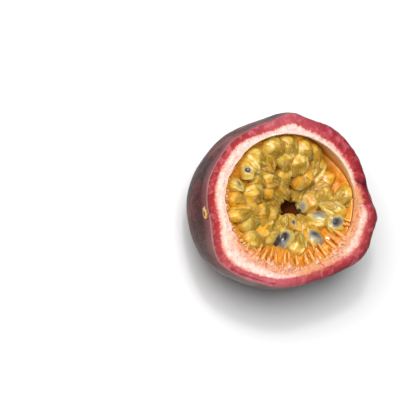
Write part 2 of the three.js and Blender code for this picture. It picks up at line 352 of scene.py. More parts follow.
def colour(code):
    """A display colour such as "c0404a" as linear light."""
    parts = [int(code[i : i + 2], 16) / 255 for i in (0, 2, 4)]
    return [p / 12.92 if p <= 0.04045 else ((p + 0.055) / 1.055) ** 2.4 for p in parts] + [1.0]


class Finish:
    """A procedural material, built a node at a time. Scales are bumps to the metre, lengths are metres."""

    def __init__(self, name, **settings):
        self.material = bpy.data.materials.new(name)
        self.material.use_nodes = True
        self.tree = self.material.node_tree
        self.surface = self.tree.nodes["Principled BSDF"]
        self.set(**settings)

    def node(self, kind, inputs=None, **options):
        """A node with its options set and its inputs filled."""
        node = self.tree.nodes.new(kind)
        for key, value in options.items():
            setattr(node, key, value)
        for key, value in (inputs or {}).items():
            self.put(node.inputs[key], value)
        return node

    def put(self, socket, value):
        """A link, a colour code or a number for a socket."""
        if isinstance(value, bpy.types.NodeSocket):
            self.tree.links.new(value, socket)
        elif isinstance(value, str):
            socket.default_value = colour(value)
        else:
            socket.default_value = value

    def place(self):
        return self.node("ShaderNodeTexCoord").outputs["Object"]

    def value(self, name):
        return self.node("ShaderNodeAttribute", attribute_name=name).outputs["Fac"]

    def vector(self, name):
        return self.node("ShaderNodeAttribute", attribute_name=name).outputs["Vector"]

    def grain(self, scale, detail=3.0, rough=0.55, where=None, twist=0.0):
        """Noise of about 0 to 1, with its middle at 0.5."""
        inputs = {"Vector": where or self.place(), "Scale": scale}
        inputs |= {"Detail": detail, "Roughness": rough, "Distortion": twist}
        return self.node("ShaderNodeTexNoise", inputs).outputs[0]

    def cells(self, scale):
        """How far the nearest of many scattered points is."""
        inputs = {"Vector": self.place(), "Scale": scale}
        return self.node("ShaderNodeTexVoronoi", inputs).outputs["Distance"]

    def spread(self, value, low, high, to_low=0.0, to_high=1.0):
        """The value's range from low to high stretched over another, and held at its ends."""
        inputs = {"Value": value, "From Min": low, "From Max": high, "To Min": to_low, "To Max": to_high}
        return self.node("ShaderNodeMapRange", inputs, clamp=True).outputs["Result"]

    def maths(self, how, a, b):
        return self.node("ShaderNodeMath", {0: a, 1: b}, operation=how).outputs[0]

    def sum(self, a, b):
        return self.maths("ADD", a, b)

    def times(self, a, b):
        return self.maths("MULTIPLY", a, b)

    def centred(self, value):
        """A value of 0 to 1 as -0.5 to 0.5."""
        return self.maths("SUBTRACT", value, 0.5)

    def mix(self, share, a, b):
        """Colour a, with b over it by a share."""
        return self.node("ShaderNodeMix", {0: share, 6: a, 7: b}, data_type="RGBA").outputs[2]

    def bands(self, value, stops):
        """The value as a colour that runs through some stops."""
        node = self.node("ShaderNodeValToRGB", {"Fac": value})
        ramp = node.color_ramp
        while len(ramp.elements) < len(stops):
            ramp.elements.new(0.5)
        for element, (at, code) in zip(ramp.elements, stops):
            element.position = at
            element.color = colour(code)
        return node.outputs["Color"]

    def relief(self, height, distance, strength):
        """A normal that tilts as the height does."""
        inputs = {"Height": height, "Distance": distance, "Strength": strength}
        return self.node("ShaderNodeBump", inputs).outputs["Normal"]

    def set(self, **inputs):
        """Fills inputs of the surface. Returns the material."""
        for key, value in inputs.items():
            self.put(self.surface.inputs[key.replace("_", " ")], value)
        return self.material


def skin_finish():
    """Burgundy skin with dark patches and pale specks, mauve under the rim, and a painted pale sheen low on
    one side where light from the floor would fall.
    """
    f = Finish("fruit_skin", Roughness=0.5, Specular_IOR_Level=0.12, Coat_Weight=0.04, Coat_Roughness=0.25)
    wide = f.grain(90, 7, 0.66, twist=0.15)
    stops = [(0.36, "160404"), (0.45, "300a0a"), (0.51, "521416"), (0.57, "6a2a2a"), (0.68, "8c5c52")]
    base = f.bands(wide, stops)
    dark_patches = f.spread(f.grain(170, 6, 0.7, twist=0.3), 0.52, 0.66, 0.0, 0.7)
    base = f.mix(dark_patches, base, "340a10")
    specks = f.spread(f.cells(1250), 0.14, 0.38, 0.34, 0.0)
    strewn = f.spread(f.grain(500, 3, 0.6), 0.38, 0.6, 0.35, 1.0)
    base = f.mix(f.times(specks, strewn), base, "9c7a70")
    pores = f.spread(f.grain(1100, 3, 0.7), 0.4, 0.65, 0.0, 0.55)
    base = f.mix(pores, base, "260c0e")
    below_cut = f.value("below_cut")
    under_rim = f.spread(f.sum(below_cut, f.times(wide, 5.0)), 3.2, 6.6, 0.6, 0.0)
    base = f.mix(under_rim, base, "8e565a")
    # Painted light: a pale patch low on one side of the skin, standing in for light thrown up from the floor.
    floor_sheen = f.times(f.value("floor_sheen"), f.spread(f.grain(60, 5, 0.6), 0.3, 0.6))
    base = f.mix(f.times(floor_sheen, 0.7), base, "a8948a")
    cut_edge = f.spread(below_cut, 0.75, 0.95, 0.25, 0.0)
    base = f.mix(cut_edge, base, "c9a097")
    height = f.sum(f.times(f.grain(700, 3, 0.6), 0.6), f.times(f.cells(520), 0.5))
    return f.set(Base_Color=base, Normal=f.relief(height, 0.00025, 0.9))


def cut_finish():
    """The cut through the rind: crimson under the skin, then white pith, stained orange over the strands."""
    f = Finish("cut_rind", Roughness=0.55, Specular_IOR_Level=0.2)
    f.set(Subsurface_Weight=0.2, Subsurface_Scale=0.001, Subsurface_Radius=(1.0, 0.45, 0.3))
    cool, stain, lip = f.value("cool"), f.value("stain"), f.value("lip")
    streaks = f.centred(f.grain(1.0, 4, 0.65, where=f.vector("radial")))
    fine = f.centred(f.grain(900, 4, 0.65))
    jagged = f.sum(f.times(streaks, f.spread(cool, 0.0, 1.0, 0.25, 0.55)), f.times(fine, 0.6))
    band = f.sum(f.value("band"), jagged)
    stops = [(0.0, "3c1c20"), (0.04, "591a1c"), (0.09, "7a191a"), (0.20, "93201f"), (0.34, "a82725")]
    stops += [(0.42, "bf4a41"), (0.49, "d5796c"), (0.57, "e09a8a"), (0.66, "edc2b0"), (0.78, "f4d4c2")]
    stops += [(1.0, "ecbda8")]
    base = f.bands(f.spread(band, 0.0, 2.4), stops)

    crimson = f.spread(band, 0.85, 1.2, 1.0, 0.0)
    base = f.mix(f.times(f.times(crimson, cool), 0.6), base, "b02c40")
    mottle = f.spread(f.grain(430, 4, 0.62), 0.44, 0.62)
    base = f.mix(f.times(f.times(crimson, mottle), 0.65), base, "7c1b1e")
    paler = f.spread(f.grain(360, 5, 0.65, twist=0.6), 0.50, 0.64)
    paler = f.sum(f.times(paler, 0.6), f.times(f.value("pale"), 0.6))
    base = f.mix(f.times(crimson, paler), base, "cc6a74")

    pith = f.spread(band, 1.1, 1.45)
    base = f.mix(f.times(pith, cool), base, "f0cdc8")
    blush = f.spread(f.grain(640, 5, 0.7, twist=0.8), 0.50, 0.66)
    base = f.mix(f.times(f.times(pith, blush), 0.7), base, "dd9a8c")
    cloud = f.spread(f.sum(f.grain(700, 5, 0.7), f.times(streaks, 0.5)), 0.46, 0.62)
    base = f.mix(f.times(f.times(pith, cloud), 0.6), base, "fbe8da")

    blotches = f.times(f.centred(f.grain(620, 5, 0.7)), 2.6)
    orange = f.spread(f.sum(stain, blotches), 0.2, 0.75)
    orange = f.times(orange, f.spread(stain, 0.0, 0.12, 0.0, 0.85))
    base = f.mix(orange, base, "e09c6c")
    base = f.mix(f.times(orange, f.spread(lip, 0.5, 1.6, 0.85, 0.0)), base, "da9446")
    rosy = f.spread(f.grain(760, 4, 0.75), 0.53, 0.62, 0.0, 0.85)
    base = f.mix(f.times(rosy, stain), base, "c45040")

    flecks = f.spread(f.sum(f.cells(1000), f.times(fine, 0.5)), 0.08, 0.27, 0.85, 0.0)
    flecks = f.times(flecks, f.spread(f.grain(240, 3), 0.40, 0.54))
    base = f.mix(f.times(flecks, pith), base, "7c545c")
    cream = f.times(f.spread(lip, 0.15, 0.8, 0.8, 0.0), f.spread(stain, 0.0, 0.6, 1.0, 0.1))
    base = f.mix(cream, base, "fbe2b8")
    base = f.mix(f.value("fold"), base, "52141f")
    height = f.sum(f.times(streaks, 0.7), f.times(fine, 0.5))
    return f.set(Base_Color=base, Normal=f.relief(height, 0.0006, 0.9))


def lining_finish():
    """Smooth cream at the lip, orange lower down."""
    f = Finish("cavity_lining", Roughness=0.3)
    f.set(Subsurface_Weight=0.3, Subsurface_Scale=0.002, Subsurface_Radius=(1.0, 0.6, 0.3))
    down = f.sum(f.value("down"), f.times(f.centred(f.grain(260, 3)), 0.4))
    stops = [(0.0, "fff0d6"), (0.25, "f7dcc0"), (0.5, "ecc69a"), (0.75, "dc9c4c"), (1.0, "c4721e")]
    return f.set(Base_Color=f.bands(down, stops), Normal=f.relief(f.grain(500, 3), 0.0002, 0.6))


def bed_finish():
    """Wet orange tissue with painted shade: browner deeper down and dark brown at the foot of the hollow,
    where it is also less glossy.
    """
    f = Finish("orange_bed", Roughness=0.22, Coat_Roughness=0.1)
    f.set(Subsurface_Weight=0.5, Subsurface_Scale=0.002, Subsurface_Radius=(1.0, 0.45, 0.12))
    deep = f.value("below_cut")
    f.set(Coat_Weight=f.spread(deep, 5.0, 9.0, 0.5, 0.0))
    f.set(Specular_IOR_Level=f.spread(deep, 6.0, 11.0, 0.5, 0.05))
    mottle = f.sum(f.grain(330, 4, 0.6, twist=0.5), f.times(f.value("fibres"), 0.16))
    base = f.bands(mottle, [(0.28, "be6812"), (0.44, "d98620"), (0.58, "e89e38"), (0.74, "f2b662")])
    # Painted shade: the tissue darkens to brown as it goes deeper between the sacs, and to dark brown in the
    # hollow.
    base = f.mix(f.spread(deep, 3.5, 8.0, 0.0, 0.6), base, "b8701c")
    base = f.mix(f.spread(deep, 7.5, 13.5), base, "4a1f06")
    return f.set(Base_Color=base, Normal=f.relief(f.grain(700, 4), 0.0004, 0.8))


def sac_finish():
    """Wet yellow flesh with threads in it, grey over a seed that shows, paler on its pleats, with painted
    shade between the sacs and deep in the hollow and painted light on the highest tops.
    """
    f = Finish("juice_sac", Roughness=0.28, IOR=1.37, Transmission_Weight=0.2)
    f.set(Coat_Weight=0.2, Coat_Roughness=0.12)
    f.set(Subsurface_Weight=0.85, Subsurface_Radius=(1.0, 0.62, 0.14), Subsurface_Scale=0.0016)
    fine = f.grain(900, 3, 0.6)
    tone = f.sum(f.value("tone"), f.times(f.grain(180, 2), 0.8))
    stops = [(0.0, "c6a438"), (0.35, "e4b83e"), (0.65, "efbc34"), (1.0, "f4b022")]
    base = f.bands(f.spread(tone, 0.3, 1.3), stops)
    threads = f.grain(1.0, 4, 0.62, where=f.vector("threads"), twist=0.9)
    threads = f.sum(f.times(threads, 0.7), f.times(f.grain(380, 3, 0.6, twist=0.5), 0.3))
    base = f.mix(f.spread(threads, 0.36, 0.48, 0.75, 0.0), base, "94690a")
    # The pleats are paler: partly the folded membrane's own colour and partly painted highlight on the folds.
    base = f.mix(f.spread(f.value("pleat"), 0.3, 1.0, 0.0, 0.5), base, "fbe396")
    base = f.mix(f.spread(threads, 0.53, 0.66, 0.0, 0.65), base, "fde8a6")
    at_root = f.spread(f.value("along"), 0.0, 0.3, 0.35, 0.0)
    base = f.mix(at_root, base, "ea9c2e")
    # Painted shade: darker olive deeper in the hollow.
    shade_in_hollow = f.spread(f.value("below_cut"), 5.0, 14.0, 0.0, 0.7)
    base = f.mix(shade_in_hollow, base, "9a7406")
    proud = f.value("proud")
    # Painted shade in the low places between the sacs.
    between = f.spread(proud, -0.4, 1.0, 0.45, 0.0)
    base = f.mix(between, base, "925806")
    # Painted light: pale patches on the tops of the sacs that stand highest.
    lit_patches = f.spread(f.grain(420, 5, 0.7, twist=1.5), 0.48, 0.62)
    on_top = f.spread(proud, 0.6, 2.6, 0.0, 0.7)
    base = f.mix(f.times(on_top, lit_patches), base, "fbeaa2")
    veil = f.sum(f.value("veil"), f.times(f.centred(fine), 0.3))
    over_seed = f.bands(veil, [(0.30, "d2c48a"), (0.55, "aca488"), (0.80, "7d7870"), (0.97, "4c4747")])
    base = f.mix(f.spread(veil, 0.08, 0.45), base, over_seed)
    height = f.sum(threads, f.times(fine, 0.3))
    return f.set(Base_Color=base, Normal=f.relief(height, 0.0004, 0.8))


def film_finish():
    """Thin clear yellow skin, paler at its rim and in its creases."""
    f = Finish("sac_film", Roughness=0.25, IOR=1.33, Transmission_Weight=0.6)
    f.set(Coat_Weight=0.1, Coat_Roughness=0.1)
    f.set(Subsurface_Weight=0.6, Subsurface_Radius=(1.0, 0.7, 0.2), Subsurface_Scale=0.0008)
    creases = f.grain(520, 4, 0.65, twist=1.2)
    base = f.mix(f.value("rim"), "efbc3c", "f9dc84")
    base = f.mix(f.spread(creases, 0.50, 0.66, 0.0, 0.5), base, "fce4a0")
    return f.set(Base_Color=base, Normal=f.relief(creases, 0.0004, 0.8))


def seed_finish():
    """Near-black coat with a fine pitted grain."""
    f = Finish("seed_coat", Roughness=0.32, Coat_Weight=0.2, Coat_Roughness=0.15)
    base = f.mix(f.spread(f.grain(900, 3), 0.35, 0.65), "24201e", "4c4744")
    return f.set(Base_Color=base, Normal=f.relief(f.cells(1400), 0.0001, 0.6))


def strand_finish():
    """Peach where a strand leaves the pith, golden at its tip, with painted light that makes it paler along
    its upper back.
    """
    f = Finish("pale_strand", Roughness=0.42, Coat_Weight=0.12, Coat_Roughness=0.2)
    f.set(Subsurface_Weight=0.7, Subsurface_Scale=0.0015, Subsurface_Radius=(1.0, 0.5, 0.25))
    ridge = f.sum(f.value("ridge"), f.times(f.centred(f.grain(800, 3)), 0.6))
    along = f.sum(f.value("reach"), f.times(f.grain(500, 3), 0.7))
    stops = [(0.0, "e2a47e"), (0.3, "e2a260"), (0.6, "da923a"), (1.0, "cc821e")]
    base = f.bands(f.spread(along, 0.2, 1.2), stops)
    # Painted light: paler along the upper back of each peg.
    base = f.mix(f.spread(ridge, 0.45, 1.0, 0.0, 0.42), base, "f2c57e")
    return f.set(Base_Color=base, Normal=f.relief(f.grain(1200, 2), 0.0002, 0.6))


def tuft_finish():
    """Peach threads with rosy spots, orange at their tips."""
    f = Finish("pith_tuft", Roughness=0.5)
    f.set(Subsurface_Weight=0.5, Subsurface_Scale=0.001, Subsurface_Radius=(1.0, 0.5, 0.3))
    along = f.sum(f.value("reach"), f.times(f.centred(f.grain(600, 4, 0.65)), 1.4))
    base = f.bands(along, [(0.1, "e8b298"), (0.35, "e4a276"), (0.6, "dd9250"), (0.9, "d4812e")])
    base = f.mix(f.spread(f.grain(900, 3, 0.7), 0.58, 0.70, 0.0, 0.6), base, "c8604c")
    return f.set(Base_Color=base, Normal=f.relief(f.grain(1200, 3), 0.0003, 0.7))


def scar_finish():
    """A corky ring round a dark pit."""
    f = Finish("stem_scar", Roughness=0.6)
    stops = [(0.0, "2e160c"), (0.28, "5d3616"), (0.45, "c08a45"), (0.7, "dba75c"), (1.0, "7a4434")]
    base = f.bands(f.value("middle"), stops)
    pits = f.times(f.spread(f.grain(1300, 3, 0.6), 0.46, 0.56), f.spread(f.value("low"), 0.5, 0.9))
    base = f.mix(f.times(pits, 0.85), base, "3a1c10")
    return f.set(Base_Color=base, Normal=f.relief(f.grain(1500, 3), 0.0003, 0.9))


# ---- the rind ----

RIM_STEPS = 300
SKIN_STEPS = 96
CUT_STEPS = 30
LINING_STEPS = 36
# Relief as size and height in mm: the skin's swells and dimples, its cut edge and the cut face.
SKIN_RELIEF = [(7.0, 0.16), (2.2, 0.07)]
EDGE_RELIEF = [(1.6, 0.16), (4.5, 0.22)]
CUT_RELIEF = [(2.4, 0.12), (0.9, 0.09)]
# How far each kind of relief and colour reaches from the edge or the lip, in mm.
EDGE_REACH = {"down": 1.6, "in": 1.2}
LIP_REACH = {"tufts": 1.1, "stain": 2.8}
# The pith's fringe over the lining: how far it stands in, and its relief.
FRINGE = 0.55
FRINGE_RELIEF = [(1.1, 0.5), (0.5, 0.3)]
# The fold where the rim is pinched, the sliver beside it and the broken line on the other side.
FOLD = {"at": 11, "lean": 1.6, "width": 3.4, "narrows": 0.5, "reach": 4.3, "depth": 0.55}
SLIVER = {"at": 4, "width": 3.2, "z": -1.5, "height": 0.8, "out": 0.6}
BROKEN_LINE = {"at": 243, "half": 24, "share": 0.45, "width": 0.09, "depth": 0.2}
# Swells of the crimson band, where the cut is paler and cooler, and where the skin has painted light from the
# floor, as angle, size and spread.
CRIMSON_WIDTH = 2.3
CRIMSON_SWELLS = [(45, 1.7, 32), (145, -0.6, 20), (322, 0.9, 30), (243, -0.3, 12)]
PALE = [(252, 1.3, 22), (94, 0.7, 20), (325, 0.3, 25)]
COOL = [(75, 1.0, 48), (262, 0.9, 20)]
FLOOR_SHEEN = [(242, 1.0, 22)]
STAIN = {"at": 290, "half": 84}


def crimson_width(angle):
    """How wide the crimson band under the skin is, in mm."""
    return CRIMSON_WIDTH + bumps(CRIMSON_SWELLS, angle)


def rind_points(ring, angle, skin, shares, lining):
    """The plain rind, ring by ring: its points, and each one's depth in from the skin and in from the lip."""
    first_cut = 1 + len(skin)
    first_lining = first_cut + len(shares)
    last = first_lining + len(lining)
    points = np.zeros((len(ring), 3))
    depth_in = np.zeros(len(ring))
    lip = np.full(len(ring), 9.0)
    for i in range(last + 1):
        here = ring == i
        a = angle[here]
        if i == 0:
            points[here] = (0, 0, FLOOR)
        elif i < first_cut:
            z = skin[i - 1]
            points[here] = on_circle(a, skin_radius(a, z), z)
        elif i < first_lining:
            share = shares[i - first_cut]
            z = np.interp(share, *zip(*CUT_FACE))
            inner, outer = lining_radius(a, z), skin_radius(a, z)
            points[here] = on_circle(a, lerp(inner, outer, share), z)
            depth_in[here] = (1 - share) * (outer - inner)
            lip[here] = share * (outer - inner)
        elif i < last:
            z = lining[i - first_lining]
            points[here] = on_circle(a, lining_radius(a, z), z)
            lip[here] = 0
        else:
            points[here] = (0, 0, LINING_FLOOR)
    return points, depth_in, lip


def build_rind():
    """Skin, cut face and lining as one closed shell."""
    skin = heights(FRUIT["depth"], EDGE_LEVEL, FLOOR, SKIN_STEPS)[::-1]
    shares = np.linspace(1, 0, CUT_STEPS + 1)[1:-1]
    lining = heights(CAVITY["depth"], LIP_LEVEL, LINING_FLOOR, LINING_STEPS)[:-1]
    first_cut = 1 + len(skin)
    first_lining = first_cut + len(shares)
    bm, ring, angle = lathe(first_lining + len(lining) + 1, RIM_STEPS)
    points, depth_in, lip = rind_points(ring, angle, skin, shares, lining)
    is_skin = ring < first_cut
    is_cut = (ring >= first_cut) & (ring < first_lining)
    edge_ring, lip_ring = on_circle(angle, 30, 0), on_circle(angle, 24, 0)

    # Leathery relief on the skin, a ragged edge where it was cut, and a slightly uneven cut.
    from_middle = points + (0, 0, CUT_ABOVE_AXIS)
    out = from_middle / np.maximum(np.linalg.norm(from_middle, axis=1), 1e-6)[:, None]
    near_edge = np.exp(-((points[:, 2] / EDGE_REACH["down"]) ** 2))
    near_edge = near_edge * np.where(is_skin, 1.0, np.exp(-depth_in / EDGE_REACH["in"]) * is_cut)
    lift_off = np.minimum(1, np.maximum(0, points[:, 2] - FLOOR) / 3)
    leathery = np.where(is_skin, roughness(points, SKIN_RELIEF, 1), 0) * lift_off
    relief = leathery + roughness(edge_ring, EDGE_RELIEF, 3) * near_edge
    points += out * (1, 1, 0.3) * relief[:, None]
    points[:, 2] += np.where(is_cut, roughness(points, CUT_RELIEF, 5), 0)

    # Over the strands the pith runs in a little way past the lining, ragged.
    ripple = 0.7 * fine_noise(lip_ring, 2.2, 18) * smooth(90 - np.abs(turn(angle, 215)), 0, 30)
    fringe = ripple + strands_at(angle) * (FRINGE + roughness(lip_ring, FRINGE_RELIEF, 16))
    on_cut_side = np.exp(-((lip / LIP_REACH["tufts"]) ** 2))
    near_lip = np.where(is_cut, on_cut_side, smooth(points[:, 2], -3.2, LIP_LEVEL)) * ~is_skin
    points -= out * (1, 1, 0) * (fringe * near_lip)[:, None]

    # A fold of skin that was dragged into the cut where the rim is pinched, and a sliver that stands off it.
    narrowing = FOLD["width"] - FOLD["narrows"] * np.minimum(depth_in, 5)
    fold = np.exp(-((turn(angle, FOLD["at"] + FOLD["lean"] * depth_in) / narrowing) ** 2))
    fold = fold * np.exp(-((depth_in / FOLD["reach"]) ** 4)) * is_cut
    points[:, 2] -= FOLD["depth"] * fold
    off_sliver = (turn(angle, SLIVER["at"]) / SLIVER["width"]) ** 2
    off_sliver = off_sliver + ((points[:, 2] - SLIVER["z"]) / SLIVER["height"]) ** 2
    sliver = np.exp(-off_sliver) * is_skin
    points += out * (1, 1, 0) * (SLIVER["out"] * sliver)[:, None]

    # A broken line where the skin folded in as the knife went round.
    band = depth_in / crimson_width(angle)
    line = np.exp(-(((band - BROKEN_LINE["share"]) / BROKEN_LINE["width"]) ** 2))
    line = line * smooth(BROKEN_LINE["half"] - np.abs(turn(angle, BROKEN_LINE["at"])), 0, 8)
    line = line * smooth(fine_noise(edge_ring, 2.4, 15), -0.15, 0.2) * is_cut
    points[:, 2] -= BROKEN_LINE["depth"] * line
    fold = np.maximum(fold, 0.75 * line)

    move(bm.verts, points)
    for face in bm.faces:
        highest = max(ring[v.index] for v in face.verts)
        face.material_index = 0 if highest < first_cut + 1 else (1 if highest < first_lining + 1 else 2)
    near_strands = smooth(STAIN["half"] - np.abs(turn(angle, STAIN["at"])), -6, 12)
    values = {
        "band": band,
        "lip": lip,
        "stain": near_strands * np.exp(-((lip / LIP_REACH["stain"]) ** 4)),
        "fold": np.clip(fold * 1.1, 0, 0.9),
        "pale": bumps(PALE, angle),
        "cool": np.clip(bumps(COOL, angle), 0, 1),
        "radial": np.stack([angle * 0.55, depth_in * 0.35, np.zeros(len(ring))], -1),
        # Where the skin gets its painted sheen of light from the floor.
        "floor_sheen": bumps(FLOOR_SHEEN, angle) * np.exp(-(((points[:, 2] + 7) / 9) ** 2)),
        "below_cut": -points[:, 2],
        "down": np.clip(points[:, 2] / reach_at(angle), 0, 1.2),
    }
    return finish_piece("rind", bm, [skin_finish(), cut_finish(), lining_finish()], values)


def build_scar():
    """The corky ring where the stalk was, stretched downwards."""
    radius, height, pit = SCAR["radius"], SCAR["height"], SCAR["pit"]
    foot = 1.35
    profile = [(0, -height), (foot, -height), (1.3, 0.1 * height), (1.1, 0.6 * height), (0.85, height)]
    profile += [(0.6, 1.05 * height), (0.4, 0.8 * height), (0.25, height - pit), (0, height - pit)]
    bm, ring, angle = lathe(len(profile), 48)
    spot = Vector(on_circle(SCAR["at"], skin_radius(SCAR["at"], SCAR["z"]), SCAR["z"]))
    turned = Matrix.Rotation(math.radians(SCAR["at"]), 3, "Z") @ Matrix.Rotation(math.pi / 2, 3, "Y")
    middle, low = [], []
    for vert, i, a in zip(bm.verts, ring, angle):
        across, up = profile[i]
        x, y = math.cos(math.radians(a)), math.sin(math.radians(a))
        ragged = 1 + 0.22 * noise.noise(Vector((x * 2.2, y * 2.2, i * 0.3)))
        stretch = 1.25 if y > 0 else 1.9
        lumpy = 0.12 * noise.noise(Vector((x * across * 2.5, y * across * 2.5, 4.0))) if across else 0
        wide, tall = x * across * radius * ragged, y * across * radius * ragged * stretch
        vert.co = turned @ Vector((wide, tall, up + lumpy)) + spot
        middle.append(min(1, across / foot))
        low.append(max(0, -y * across))
    return finish_piece("scar", bm, [scar_finish()], {"middle": middle, "low": low})


# ---- the pulp ----

SAC_AROUND, SAC_RINGS = 64, 36
SEED_AROUND, SEED_RINGS = 24, 16
PEG_AROUND, PEG_RINGS = 12, 16
# Grain is the size of the voxels that melt the pieces into one skin, in mm.
SAC_GRAIN = 0.262
PEG_GRAIN = 0.13
# How much fuller the sacs and the strands are than in the solid.
FULLNESS = 1.1
PEG_FULLNESS = 1.35
CREASE = 0.16
SAC_LUMPS = [(1.0, 0.24), (0.4, 0.12)]
SEED_DEPTH = 1.7
# How slack a sac is: its twist, lobes and frill, how far its mouth draws in, its droop and its lean.
SLACK = {"twist": 1.6, "lobes": 0.11, "frill": 0.08, "mouth": (0.02, 0.22), "droop": 0.06, "lean": 0.16}
PLEAT = {"height": (0.08, 0.34), "width": (0.10, 0.24), "start": (-0.1, 0.5), "climb": 0.35, "bend": 1.6}
# Half is the angle that a film covers to each side. Past its reach along the sac it stands off.
FILM = {
    "thickness": 0.09,
    "reach": 0.93,
    "loose": 0.16,
    "half": (34, 70),
    "start": (0.25, 0.5),
    "end": (0.86, 1.0),
}
BED = {"wall": 24, "bowl": 60, "around": 320, "clearance": 0.06, "edge": 1.01}
# The pulp is pressed down where it would bulge past the cut, and the tufts more.
PRESSED_FROM, TOP_OF_PULP = 0.4, 0.9
TOP_OF_TUFTS = 0.45
SKIN_GAP = 0.05
# The pegs that make the strands and the tufts. Before and after are how far they go past the strands, in
# degrees. Lower, longer and wider are the most that a draw adds. Tip is the tip's share of the width, root is
# how far the root stands off the lining, and hidden is the length that the wall hides.
STRAND_PEG = {"z": -1.2, "lower": 1.6, "sunk": 0.6, "dip": (12, 28), "tip": 0.45, "root": 0.55, "hidden": 1.5}
SMALL_PEG = {
    "count": 26,
    "before": 14,
    "after": 8,
    "length": 1.8,
    "longer": 2.6,
    "radius": 0.35,
    "wider": 0.4,
    "z": -1.6,
    "lower": 1.9,
    "dip": (8, 36),
    "tip": 0.6,
    "root": 0.55,
}
TUFT = {
    "count": 150,
    "from": 152,
    "after": 22,
    "thinnest": 0.35,
    "length": (1.0, 2.9),
    "hidden": 0.6,
    "radius": (0.22, 0.5),
    "z": -0.15,
    "lower": 0.6,
    "dip": (10, 40),
    "tip": 0.5,
    "root": (0.3, 1.7),
}


def add_copies(bm, count):
    """What the mesh holds, copied until there are count of it: each one's vertices."""
    bodies = [bm.verts[:]]
    first = bm.verts[:] + bm.edges[:] + bm.faces[:]
    for _ in range(count - 1):
        copy = bmesh.ops.duplicate(bm, geom=first)["geom"]
        bodies.append([part for part in copy if isinstance(part, bmesh.types.BMVert)])
    return bodies


def add_balls(bm, count, around, rings):
    """Copies of one ball: each copy's vertices, and their places on a ball of radius 1."""
    bmesh.ops.create_uvsphere(bm, u_segments=around, v_segments=rings, radius=1)
    ball = np.array([vert.co for vert in bm.verts])
    return add_copies(bm, count), ball


def below(points, start, top):
    """Points above start pressed down so that none is above top."""
    over = np.maximum(0, points[:, 2] - start)
    z = np.where(over > 0, start + (top - start) * np.tanh(over / (top - start)), points[:, 2])
    return np.stack([points[:, 0], points[:, 1], z], -1)


def keep_in(points):
    """Points moved in from the cavity's wall and the cut, as the sacs press against them."""
    points = below(points, PRESSED_FROM, TOP_OF_PULP)
    z = points[:, 2]
    angle = np.degrees(np.arctan2(points[:, 1], points[:, 0]))
    room = lining_radius(angle, np.minimum(z, LIP_LEVEL)) - WALL_GAP - SKIN_GAP
    share = np.minimum(1, room / np.maximum(np.hypot(points[:, 0], points[:, 1]), 1e-6))
    return np.stack([points[:, 0] * share, points[:, 1] * share, z], -1)


def build_bed():
    """A wall that lies against the lining, and over it the bowl that the sacs lean on."""
    wall, bowl = BED["wall"], BED["bowl"]
    half = CAVITY["depth"] / 2
    bm, ring, angle = lathe(wall + bowl + 2, BED["around"])
    points = np.zeros((len(ring), 3))
    grow = np.zeros(len(ring))
    for i in range(wall + bowl + 2):
        here = ring == i
        a = angle[here]
        if i == 0:
            points[here] = inside_lining(0, LINING_FLOOR, 2 * WALL_GAP)
        elif i <= wall:
            top = np.arcsin(np.clip((reach_at(a) - 0.4 + CUT_ABOVE_AXIS) / half, -1, 1))
            z = half * np.sin(lerp(top, -math.pi / 2, (wall - i) / wall)) - CUT_ABOVE_AXIS
            points[here] = inside_lining(a, z, BED["clearance"])
        elif i <= wall + bowl:
            share = 1 - (i - wall - 1) / bowl
            point = bowl_point(share * BED["edge"], a)
            sunk = lerp(BED_BELOW["sacs"], BED_BELOW["strands"], strands_at(a) * smooth(share, 0.3, 0.7))
            point[:, 2] -= sunk * smooth(1 - share, 0, 0.2)
            points[here] = point
            grow[here] = smooth(1 - share, 0, 0.08)
        else:
            points[here] = (HOLLOW["x"], HOLLOW["y"], HOLLOW["z"] - BED_BELOW["sacs"])
    fibres = fine_noise(np.stack([angle * 0.45, points[:, 2] * 0.3, 0 * angle], -1), 1.0, 7)
    tied = strands_at(angle) * smooth(np.hypot(points[:, 0], points[:, 1]), 10, 16)
    points[:, 2] += grow * tied * 0.4 * fine_noise(points, 1.1, 23)
    lumps = 0.35 * fine_noise(points, 1.8, 8) + 0.16 * fibres + 0.12 * fine_noise(points, 0.8, 9)
    points[:, 2] += grow * lumps
    move(bm.verts, points)
    values = {"below_cut": -points[:, 2], "fibres": fibres}
    return finish_piece("bed", bm, [bed_finish()], values)


def sac_plan(draw):
    """Where each sac goes and its size: the key sacs first, then as many more as there is room for."""
    sacs = []

    def add(x, y, length, width, lift, shows):
        sway = SAC_SWAY * (draw() - 0.5)
        sacs.append(dict(x=x, y=y, length=length, width=width, lift=lift, sway=sway, shows=shows))

    for key_sac in KEY_SACS:
        add(*key_sac)
    half = CAVITY["length"] / 2
    for _ in range(FIELD["tries"]):
        x, y = lerp(-half, half, draw()), lerp(-half, half, draw())
        share, angle = bowl_place(x, y)
        margin = lerp(FIELD["rim"], FIELD["strands"], strands_at(angle))
        if share < FIELD["inner_share"] or (1 - share) * lining_radius(angle, 0) < margin:
            continue
        if any((s["x"] - x) ** 2 + (s["y"] - y) ** 2 < SAC["spacing"] ** 2 for s in sacs):
            continue
        length, width, lift = (lerp(*SAC[key], draw()) for key in ("length", "width", "lift"))
        add(x, y, length, width, lift, 0.0)
    return sacs


